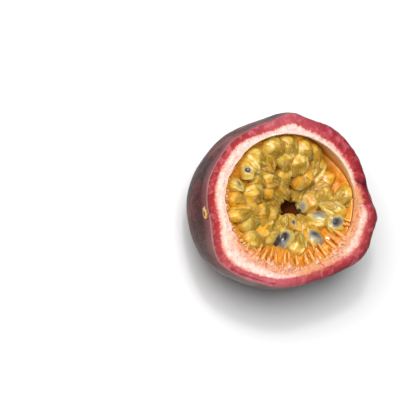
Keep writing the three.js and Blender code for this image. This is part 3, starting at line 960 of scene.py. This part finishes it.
def sac_frame(sac, draw):
    """The sac's root and its axes: across, up (away from the bed) and along."""
    share, angle = bowl_place(sac["x"], sac["y"])
    middle = Vector(bowl_point(share, angle))
    slope = (Vector(bowl_point(max(0, share - 0.15), angle)) - middle).normalized()
    side = slope.cross(Vector((0, 0, 1))).normalized()
    along = Quaternion(side, math.radians(sac["lift"])) @ slope
    along = (Quaternion(Vector((0, 0, 1)), math.radians(sac["sway"])) @ along).normalized()
    up = side.cross(along).normalized()
    across = up.cross(along).normalized()
    sac["pleats"] = 3 + math.floor(3 * draw())
    sac["roll"] = math.radians(SAC_ROLL * (draw() - 0.5))
    root = middle - along * 0.5 * sac["length"] - up * 0.1 * sac["width"]
    axes = Matrix((across, along.cross(across), along)).transposed()
    return np.array(root), np.array(axes)


def sac_outline(along):
    """How wide a sac is from its root to its mouth, as a share of its widest."""
    return np.sin(math.pi * np.clip(along, 0, 1) ** 0.78) ** 0.62


def seed_in(sac, number):
    """The middle, half sizes and turned axes of a sac's seed, in the sac's own frame."""
    at, across, turned, size = SEED_LIES.get(number, (0.5, 0.0, 0.0, 1.0))
    half = size * np.array(SEED_HALF)
    ring, _ = sac_surface(sac, number, np.radians(np.arange(0, 360, 4.0)), np.full(90, at), 0.2)
    skin = ring[np.argmin(np.abs(ring[:, 0] - across * sac["width"]) + 99 * (ring[:, 1] < 0))]
    height = skin[1] - half[1] + 0.02 - SEED_DEPTH * (1 - sac["shows"])
    middle = np.array((skin[0], height, skin[2]))
    return middle, half, np.array(Matrix.Rotation(math.radians(turned), 3, "Y"))


def pleats_at(sac, own, around, along):
    """How far the membrane's folds stand out: a few sharp ridges that start at different heights."""
    count = sac["pleats"] + 4
    total = np.zeros(len(around))
    for k in range(count):
        at = math.tau * (k + 0.8 * own()) / count
        height, width, start = (lerp(*PLEAT[key], own()) for key in ("height", "width", "start"))
        bend = PLEAT["bend"] * (own() - 0.5)
        away = (around + bend * along**2 - at + math.pi) % math.tau - math.pi
        total += height * np.exp(-np.abs(away / width) ** 1.4) * smooth(along, start, start + PLEAT["climb"])
    return total


def sac_surface(sac, number, around, along, loose=1.0):
    """One sac in its own frame, a pleated bag with its mouth drawn in: the points and the pleats there.

    loose is how slack the bag is, from 0 where it is stretched over its seed to 1.
    """
    own = draws(SEED + 31 * number + 7)
    own()
    twisted = around + SLACK["twist"] * (own() - 0.5) * along
    pleats = pleats_at(sac, own, twisted, along)
    lobes = SLACK["lobes"] * np.cos(sac["pleats"] * twisted + 6 * own()) * smooth(along, 0.3, 0.8)
    frill = SLACK["frill"] * smooth(along, 0.6, 0.9) * np.cos((8 + number % 4) * twisted + number)
    ball_like = np.stack([np.cos(around), np.sin(around), along * 2.2 + number * 3.1], -1)
    lumps = roughness(ball_like, SAC_LUMPS, 11)
    radius = sac["width"] / 2 * sac_outline(along) * (FULLNESS + loose * (lobes + pleats + frill + lumps))
    mouth = lerp(*SLACK["mouth"], own())
    up_the_sac = along - mouth * smooth(along, 0.8, 1.0) ** 2 + 0.05 * smooth(along, 0.5, 0.9) * pleats / 0.2
    droop = SLACK["droop"] * sac["length"] * along**2
    lean = SLACK["lean"] * (own() - 0.5) * sac["length"] * np.sin(math.pi * np.clip(along, 0, 1))
    x = radius * np.cos(around) + lean
    y = radius * SAC["flatness"] * np.sin(around) - droop
    cos, sin = math.cos(sac["roll"]), math.sin(sac["roll"])
    return np.stack([cos * x - sin * y, sin * x + cos * y, up_the_sac * sac["length"]], -1), pleats


def melt(bm, grain, rounds):
    """The mesh's separate bodies run together into one skin, a little smoothed where they meet."""
    mesh = bpy.data.meshes.new("melting")
    bm.to_mesh(mesh)
    bm.free()
    melting = bpy.data.objects.new("melting", mesh)
    bpy.context.scene.collection.objects.link(melting)
    union = melting.modifiers.new("union", "REMESH")
    union.mode = "VOXEL"
    union.voxel_size = grain
    soft = melting.modifiers.new("soft", "SMOOTH")
    soft.factor, soft.iterations = 0.5, rounds
    melted = bmesh.new()
    melted.from_object(melting, bpy.context.evaluated_depsgraph_get())
    bpy.data.objects.remove(melting)
    bpy.data.meshes.remove(mesh)
    return melted


def nearest_values(bm, points, values):
    """Each vertex's values, taken from the nearest few of some points that have them.

    A number is their mean, a place is the nearest one's.
    """
    tree = kdtree.KDTree(len(points))
    for i, point in enumerate(points):
        tree.insert(point, i)
    tree.balance()
    near = np.array([[found[1] for found in tree.find_n(vert.co, 4)] for vert in bm.verts])

    def taken(numbers):
        return numbers[near[:, 0]] if numbers.ndim == 2 else numbers[near].mean(1)

    return {key: taken(numbers) for key, numbers in values.items()}


def push_out(bm, heights_out):
    """Each vertex moved along its normal by its own height."""
    bm.normal_update()
    for vert, height in zip(bm.verts, heights_out):
        vert.co += vert.normal * float(height)


def build_sacs(sacs):
    """The sacs, each stretched over its seed and held in by the wall, melted into one heap."""
    bm = bmesh.new()
    values = {"along": [], "tone": [], "pleat": [], "veil": [], "threads": [], "loose": []}
    tones = draws(SEED + 5)
    placed = []
    balls, ball = add_balls(bm, len(sacs), SAC_AROUND, SAC_RINGS)
    along = 0.5 * (ball[:, 2] + 1) / 2 + 0.5 * np.arccos(np.clip(-ball[:, 2], -1, 1)) / math.pi
    around = np.arctan2(ball[:, 1], ball[:, 0])
    for number, (sac, verts) in enumerate(zip(sacs, balls)):
        tone, deep = tones(), tones()
        closer_on_top = around + 0.4 * np.cos(around + sac["roll"])
        middle, half, turned = seed_in(sac, number)
        points, _ = sac_surface(sac, number, closer_on_top, along, 0.2)
        off_seed = np.linalg.norm((points - middle) @ turned / half, axis=1)
        loose = np.maximum(smooth(off_seed, 1.1, 1.9), 1 - sac["shows"])
        points, pleats = sac_surface(sac, number, closer_on_top, along, loose)
        points = keep_in(points @ sac["axes"].T + sac["root"])
        move(verts, points)
        placed.append(points)
        bent = closer_on_top + 0.5 * along
        values["along"].append(along)
        values["tone"].append(np.full(len(along), RIPE.get(number, tone)))
        values["pleat"].append(np.clip(pleats / 0.2, 0, 1) * loose)
        values["loose"].append(loose)
        values["veil"].append(np.maximum(sac["shows"], 0.45 * deep) * (1 - smooth(off_seed, 0.95, 1.6)))
        threads = [2.6 * np.cos(bent), 2.6 * np.sin(bent), along * 1.6 + number * 7.7]
        values["threads"].append(np.stack(threads, -1))
    bm = melt(bm, SAC_GRAIN, 3)
    values = {key: np.concatenate(parts) for key, parts in values.items()}
    values = nearest_values(bm, np.concatenate(placed), values)
    creases = (0.5 - np.abs(fine_noise(values["threads"], 1.0, 22)) * 2) * values["loose"]
    push_out(bm, CREASE * creases)
    at = np.array([vert.co for vert in bm.verts])
    values["below_cut"] = -at[:, 2]
    values["proud"] = at[:, 2] - bowl_point(*bowl_place(at[:, 0], at[:, 1]))[:, 2]
    return finish_piece("sacs", bm, [sac_finish()], values)


def build_films(sacs):
    """Thin loose skins on the sacs, open towards the hollow. A sac whose seed is bare has none."""
    skinned = [(number, sac) for number, sac in enumerate(sacs) if sac["shows"] < 0.6]
    bm = bmesh.new()
    bmesh.ops.create_grid(bm, x_segments=18, y_segments=14, size=1)
    sheet = np.array([vert.co for vert in bm.verts])
    sheets = add_copies(bm, len(skinned))
    own = draws(SEED + 77)
    rims = []
    for (number, sac), verts in zip(skinned, sheets):
        middle = 90 + 70 * (own() - 0.5)
        half_angle, start, end = (lerp(*FILM[key], own()) for key in ("half", "start", "end"))
        across, up = sheet[:, 0], (sheet[:, 1] + 1) / 2
        wavy = 0.06 * np.sin(5 * across + 6 * own()) + 0.05 * fine_noise(sheet * 2 + number, 0.7, 21)
        along = start + (end - start + wavy) * up * (1 - 0.18 * across**2)
        around = np.radians(middle + half_angle * across * (1 - 0.25 * up)) - sac["roll"]
        points, _ = sac_surface(sac, number, around, np.minimum(along, FILM["reach"]))
        points[:, 2] += np.maximum(0, along - FILM["reach"]) * sac["length"]
        edge = np.maximum(smooth(np.abs(across), 0.7, 1.0) * 0.5, smooth(up, 0.7, 1.0))
        ripple = 0.5 + 0.5 * np.sin(7 * across + 6 * own())
        stand_off = 1.03 + FILM["loose"] * edge * ripple - 0.08 * (1 - smooth(up, 0, 0.2))
        points[:, :2] *= stand_off[:, None]
        move(verts, keep_in(points @ sac["axes"].T + sac["root"]))
        rims.append(edge)
    rim = bm.verts.layers.float.new("rim")
    for vert, value in zip(bm.verts, np.concatenate(rims)):
        vert[rim] = value
    bmesh.ops.solidify(bm, geom=bm.faces[:], thickness=FILM["thickness"])
    return finish_piece("films", bm, [film_finish()])


def build_seeds(sacs):
    """A seed in each sac, an oval with a pointed end and faint dimples."""
    bm = bmesh.new()
    balls, ball = add_balls(bm, len(sacs), SEED_AROUND, SEED_RINGS)
    pointed = 1 - 0.22 * np.maximum(0, ball[:, 2:])
    for number, (sac, verts) in enumerate(zip(sacs, balls)):
        middle, half, turned = seed_in(sac, number)
        dimples = 1 + 0.03 * fine_noise(ball * 2.2 + middle, 0.45, 13)[:, None]
        points = ball * half * dimples * np.concatenate([pointed, pointed, np.ones_like(pointed)], 1)
        points = points @ turned.T + middle
        move(verts, keep_in(points @ sac["axes"].T + sac["root"]))
    return finish_piece("seeds", bm, [seed_finish()])


def pegs_mesh(pegs, room=keep_in):
    """Blunt pegs that point in from the wall, run together where they touch.

    A peg is its angle, length, radius, height, dip, tip size and how far its root stands off the lining. The
    values are how far along each vertex is and how far up its peg's back.
    """
    bm = bmesh.new()
    balls, ball = add_balls(bm, len(pegs), PEG_AROUND, PEG_RINGS)
    share = (ball[:, 2] + 1) / 2
    out = np.maximum(1e-6, np.hypot(ball[:, 0], ball[:, 1]))
    foot = 1 + 0.7 * (1 - smooth(share, 0.0, 0.3))
    lying = Matrix.Rotation(-math.pi / 2, 3, "Y")
    placed = []
    for (angle, length, radius, z, dip, tip, root), verts in zip(pegs, balls):
        full = radius * lerp(1, tip, share) * np.sqrt(1 - np.abs(ball[:, 2]) ** 6) * foot / out
        bend = np.stack([share * 1.3 + angle, share * 0 + z, share * 0], -1)
        sway = 0.6 * share * fine_noise(bend, 1.0, 14)
        full = full * (1 + 0.3 * fine_noise(bend * 1.7, 0.6, 24))
        droop = 0.9 * share**2
        local = [ball[:, 0] * full + droop, ball[:, 1] * full + sway, (share - 0.5) * length]
        turned = Matrix.Rotation(math.radians(angle), 3, "Z") @ Matrix.Rotation(dip, 3, "Y") @ lying
        middle = on_circle(angle, float(lining_radius(angle, z)) - length / 2 + root, z)
        points = room(np.stack(local, -1) @ np.array(turned).T + middle)
        move(verts, points)
        placed.append(points)
    bm = melt(bm, PEG_GRAIN, 1)
    up = np.clip(ball[:, 0] / out, 0, 1)
    values = {"reach": np.tile(share, len(pegs)), "ridge": np.tile(up, len(pegs))}
    values = nearest_values(bm, np.concatenate(placed), values)
    push_out(bm, 0.07 * fine_noise([vert.co for vert in bm.verts], 0.7, 25))
    return bm, values


def build_strands(draw):
    """The strands that tie the pulp to the lip, with small pegs between them."""
    pegs = []
    for i in range(STRAND["count"]):
        angle = lerp(STRAND["from"], STRAND["to"], (i + 0.7 * draw()) / STRAND["count"])
        length = lerp(*STRAND["length"], draw())
        radius = PEG_FULLNESS * lerp(*STRAND["radius"], draw())
        z = STRAND_PEG["z"] - STRAND_PEG["lower"] * draw() - STRAND_PEG["sunk"]
        dip = -math.radians(lerp(*STRAND_PEG["dip"], draw()))
        length += STRAND_PEG["hidden"]
        pegs.append((angle, length, radius, z, dip, STRAND_PEG["tip"], STRAND_PEG["root"]))
    more = draws(SEED + 9)
    for _ in range(SMALL_PEG["count"]):
        angle = lerp(STRAND["from"] - SMALL_PEG["before"], STRAND["to"] + SMALL_PEG["after"], more())
        length = SMALL_PEG["length"] + SMALL_PEG["longer"] * more() ** 2
        radius = PEG_FULLNESS * (SMALL_PEG["radius"] + SMALL_PEG["wider"] * more())
        z = SMALL_PEG["z"] - SMALL_PEG["lower"] * more()
        dip = -math.radians(lerp(*SMALL_PEG["dip"], more()))
        pegs.append((angle, length, radius, z, dip, SMALL_PEG["tip"], SMALL_PEG["root"]))
    bm, values = pegs_mesh(pegs)
    return finish_piece("strands", bm, [strand_finish()], values)


def build_tufts():
    """Ragged ends of the pith round the lip, thickest over the strands."""
    own = draws(SEED + 41)
    tufts = []
    for _ in range(TUFT["count"]):
        angle = lerp(TUFT["from"], STRAND["to"] + TUFT["after"], own())
        thick = lerp(TUFT["thinnest"], 1, float(strands_at(angle)))
        length = lerp(*TUFT["length"], own() ** 2) * thick + TUFT["hidden"]
        radius = lerp(*TUFT["radius"], own()) * thick
        z = TUFT["z"] - TUFT["lower"] * own()
        dip = -math.radians(lerp(*TUFT["dip"], own()))
        root = lerp(*TUFT["root"], own()) * thick
        tufts.append((angle, length, radius, z, dip, TUFT["tip"], root))
    bm, values = pegs_mesh(tufts, lambda points: below(points, 0.0, TOP_OF_TUFTS))
    return finish_piece("tufts", bm, [tuft_finish()], values)


# ---- the object ----

rind = build_rind()
build_scar()
draw = draws(SEED)
sacs = sac_plan(draw)
for number, sac in enumerate(sacs):
    sac["root"], sac["axes"] = sac_frame(sac, draw)
    sac["root"] -= sac["axes"][:, 2] * SET_BACK.get(number, 0)
build_bed()
sac_piece = build_sacs(sacs)
build_films(sacs)
build_seeds(sacs)
build_strands(draw)
build_tufts()
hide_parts("shell")
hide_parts("pulp")

# ---- light, floor and camera ----

# Lamps: direction, distance and size in metres, and watts.
LAMPS = {
    "key": ((-0.42, 0.25, 0.93), 1.0, 0.66, 13.4),
    "fill": ((-0.95, -0.2, 0.7), 1.2, 0.9, 1.6),
    "glint": ((-0.45, 0.35, 1.0), 0.8, 0.06, 1.0),
}
LAMPS_AIM = (0, 0, 0.02)
SKY = 0.05
# The frame: its size in dots, the metres to a dot, and the dot where the middle of the cut face is.
CAMERA = {"tilt": 26, "bearing": 187, "distance": 1.0, "sensor": 36, "clip_end": 20}
FRAME_SIZE = {"dots": 400, "per_dot": 0.322e-3, "across": 292, "down": 201}
FLOOR_SIZE = 3.0


def build_floor():
    """The pale floor that the half lies on."""
    bm = bmesh.new()
    bmesh.ops.create_grid(bm, x_segments=2, y_segments=2, size=FLOOR_SIZE)
    mesh = bpy.data.meshes.new("floor")
    bm.to_mesh(mesh)
    bm.free()
    floor = bpy.data.objects.new("floor", mesh)
    bpy.context.scene.collection.objects.link(floor)
    f = Finish("pale_floor", Roughness=0.6)
    mesh.materials.append(f.set(Base_Color=f.mix(f.grain(3, 2), "f4f4f4", "f8f8f8")))


def light(name, toward, distance, size, power):
    """A round lamp that faces the fruit."""
    lamp = bpy.data.lights.new(name, "AREA")
    lamp.shape = "DISK"
    lamp.size = size
    lamp.energy = power
    spot = bpy.data.objects.new(name, lamp)
    aim = Vector(LAMPS_AIM)
    spot.location = aim + Vector(toward).normalized() * distance
    spot.rotation_euler = (aim - spot.location).to_track_quat("-Z", "Y").to_euler()
    bpy.context.scene.collection.objects.link(spot)


def set_camera():
    """Looks down on the cut face from the stem end, with the fruit right of the middle of the frame."""
    tilt, bearing = math.radians(CAMERA["tilt"]), math.radians(CAMERA["bearing"])
    away = math.sin(tilt)
    back = Vector((away * math.cos(bearing), away * math.sin(bearing), math.cos(tilt)))
    up = (Vector((0, 1, 0)) - back * back.y).normalized()
    right = up.cross(back)
    centre, per_dot = FRAME_SIZE["dots"] / 2, FRAME_SIZE["per_dot"]
    middle = PLACE * 0.001 + right * (centre - FRAME_SIZE["across"]) * per_dot
    middle += up * (FRAME_SIZE["down"] - centre) * per_dot
    data = bpy.data.cameras.new("camera")
    data.sensor_width = CAMERA["sensor"]
    data.lens = CAMERA["sensor"] * CAMERA["distance"] / (FRAME_SIZE["dots"] * per_dot)
    data.clip_end = CAMERA["clip_end"]
    camera = bpy.data.objects.new("camera", data)
    bpy.context.scene.collection.objects.link(camera)
    turned = Matrix((right, up, back)).transposed().to_4x4()
    camera.matrix_world = Matrix.Translation(middle + back * CAMERA["distance"]) @ turned
    bpy.context.scene.camera = camera


def set_light():
    """A dim even sky and the lamps."""
    world = bpy.data.worlds.new("studio")
    bpy.context.scene.world = world
    world.use_nodes = True
    sky = world.node_tree.nodes["Background"].inputs
    sky["Color"].default_value = (1, 1, 1, 1)
    sky["Strength"].default_value = SKY
    for name, lamp in LAMPS.items():
        light(name, *lamp)
    bpy.context.scene.view_settings.view_transform = "Standard"


build_floor()
set_light()
set_camera()
